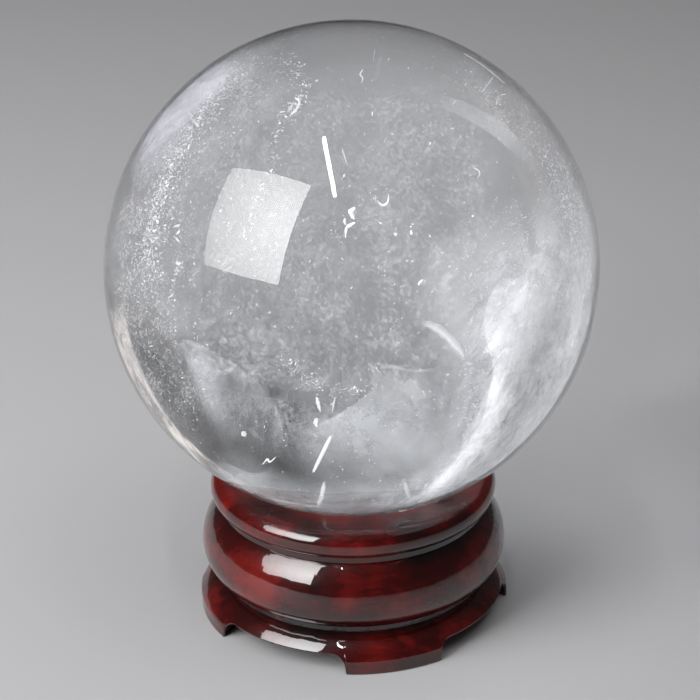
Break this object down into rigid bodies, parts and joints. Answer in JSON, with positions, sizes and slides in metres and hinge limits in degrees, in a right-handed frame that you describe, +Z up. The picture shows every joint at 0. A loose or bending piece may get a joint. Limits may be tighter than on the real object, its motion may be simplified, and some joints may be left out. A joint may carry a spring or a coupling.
{
  "type": "crystal ball",
  "caption": "Clear polished rock-crystal sphere resting in the dished seat of a turned, red-lacquered wooden stand with arched feet; the ball lifts straight out.",
  "frame": {"origin": "centre of the stand's base, on the surface it stands on", "axes": "+Z up along the stand's axis and through the ball's centre, -Y towards the front, +X to the right"},
  "size_m": [0.06, 0.06, 0.0755],
  "materials": {
    "lacquered_wood": "dark red high-gloss lacquer over turned wood",
    "rock_crystal": "polished, clear, with natural white veils and flecks inside"
  },
  "bodies": {
    "stand": {"stand": "lacquered_wood"},
    "ball": {"crystal_ball": "rock_crystal"}
  },
  "joints": [
    {"name": "ball_lift", "type": "slide", "parent": "stand", "child": "ball", "axis": [0, 0, 1], "range_m": [0, 0.03]}
  ]
}
